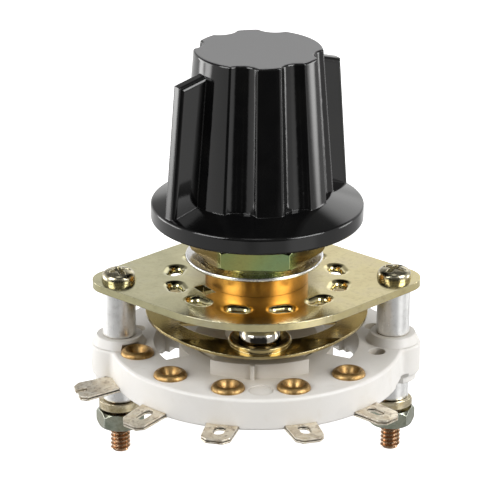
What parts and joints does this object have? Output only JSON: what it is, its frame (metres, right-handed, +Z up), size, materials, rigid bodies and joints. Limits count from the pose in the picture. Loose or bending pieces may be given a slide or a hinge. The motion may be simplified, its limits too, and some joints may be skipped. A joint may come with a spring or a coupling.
{
  "type": "rotary selector switch",
  "caption": "Panel-mounted rotary selector switch with a fluted skirted knob, threaded bushing, ball detent and a white ceramic contact wafer hung from a plate on through screws.",
  "frame": {"origin": "on the shaft's axis at the panel seat, the top of the bushing's shoulder", "axes": "+Z up the shaft towards the knob, +X through the right screw, -Y towards the front with the lugs"},
  "size_m": [0.0508, 0.0472, 0.062],
  "materials": {
    "plate_zinc": "glossy yellow-passivated zinc plating",
    "bushing_brass": "turned, satin",
    "washer_steel": "bright plated",
    "nut_zinc": "yellow-green passivated zinc plating",
    "wafer_ceramic": "white, satin",
    "screw_steel": "copper-toned plating",
    "spacer_aluminium": "drawn tube, satin",
    "lock_washer_steel": "yellow-passivated zinc plating",
    "stand_nut_steel": "grey zinc plating",
    "contact_silver": "silvered brass sheet, satin",
    "eyelet_brass": "polished",
    "spring_brass": "polished sheet",
    "ball_steel": "polished",
    "knob_black": "glossy sides, satin top",
    "insert_brass": "turned",
    "hidden_steel": "zinc plated",
    "rotor_ceramic": "cream, matt"
  },
  "bodies": {
    "frame": {"mounting_plate": "plate_zinc", "bushing": "bushing_brass", "panel_washer": "washer_steel", "panel_nut": "nut_zinc", "ceramic_wafer": "wafer_ceramic", "left_screw": "screw_steel", "left_upper_spacer": "spacer_aluminium", "left_lower_sleeve": "spacer_aluminium", "left_lock_washer": "lock_washer_steel", "left_stand_nut": "stand_nut_steel", "right_screw": "screw_steel", "right_upper_spacer": "spacer_aluminium", "right_lower_sleeve": "spacer_aluminium", "right_lock_washer": "lock_washer_steel", "right_stand_nut": "stand_nut_steel", "contact_1_upper_leaf": "contact_silver", "contact_1_lower_leaf": "contact_silver", "contact_1_eyelet": "eyelet_brass", "contact_2_upper_leaf": "contact_silver", "contact_2_lower_leaf": "contact_silver", "contact_2_eyelet": "eyelet_brass", "contact_3_upper_leaf": "contact_silver", "contact_3_lower_leaf": "contact_silver", "contact_3_eyelet": "eyelet_brass", "contact_4_upper_leaf": "contact_silver", "contact_4_lower_leaf": "contact_silver", "contact_4_eyelet": "eyelet_brass", "contact_5_upper_leaf": "contact_silver", "contact_5_lower_leaf": "contact_silver", "contact_5_eyelet": "eyelet_brass"},
    "rotor": {"knob": "knob_black", "knob_insert": "insert_brass", "grub_screw": "hidden_steel", "shaft": "hidden_steel", "retaining_ring": "hidden_steel", "stop_plate": "hidden_steel", "spring_collar": "hidden_steel", "detent_spring": "spring_brass", "front_ball": "ball_steel", "back_ball": "ball_steel", "rotor_disc": "rotor_ceramic", "contact_blade": "contact_silver", "tail_clip": "hidden_steel"}
  },
  "joints": [
    {"name": "selector_turn", "type": "hinge", "parent": "frame", "child": "rotor", "pos_m": [0, 0, 0], "axis": [0, 0, 1], "range_deg": [-30, 60]}
  ]
}
